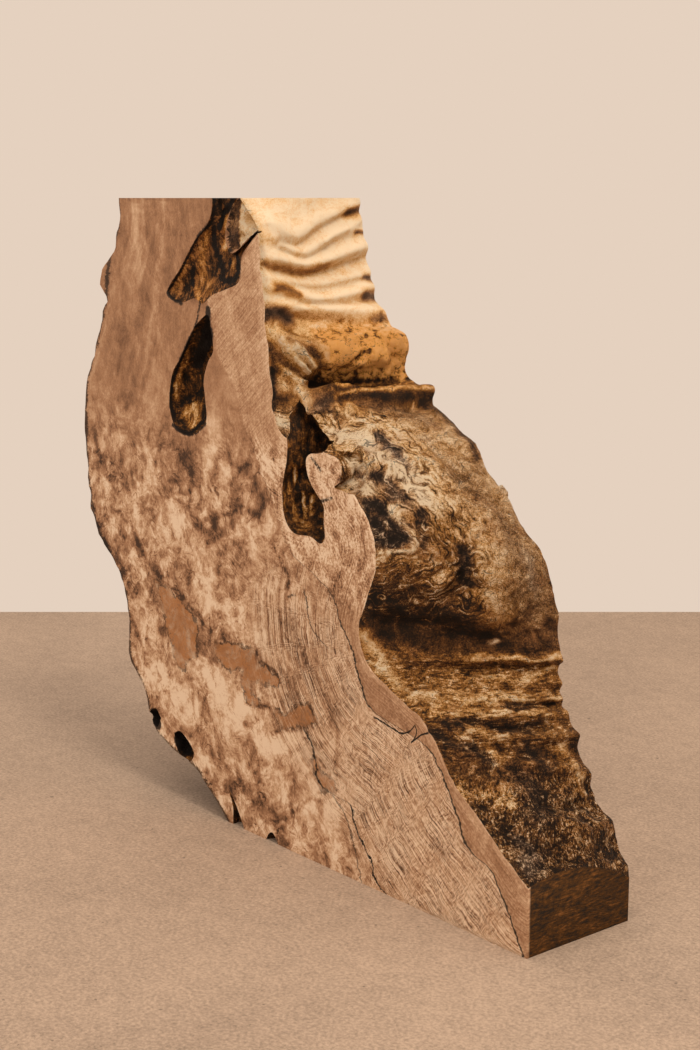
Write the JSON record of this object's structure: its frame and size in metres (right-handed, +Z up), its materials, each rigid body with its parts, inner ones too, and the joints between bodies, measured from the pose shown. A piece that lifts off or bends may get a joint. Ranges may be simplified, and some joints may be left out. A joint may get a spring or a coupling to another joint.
{
  "type": "maple burl slab",
  "caption": "Thick sawn slab of spalted maple burl that stands on its sawn foot, with flat sawn faces and a natural rippled and lumpy edge.",
  "frame": {"origin": "middle of the bounding box on the floor plane, under the slab's sawn foot", "axes": "+X along the sawn face towards the foot's sawn end, +Y from the front sawn face into the slab, +Z up"},
  "size_m": [0.4762, 0.083, 0.42],
  "materials": {
    "maple": "bare sawn and debarked wood, matte, with dark spalting"
  },
  "bodies": {
    "root": {"burl": "maple"}
  },
  "joints": []
}
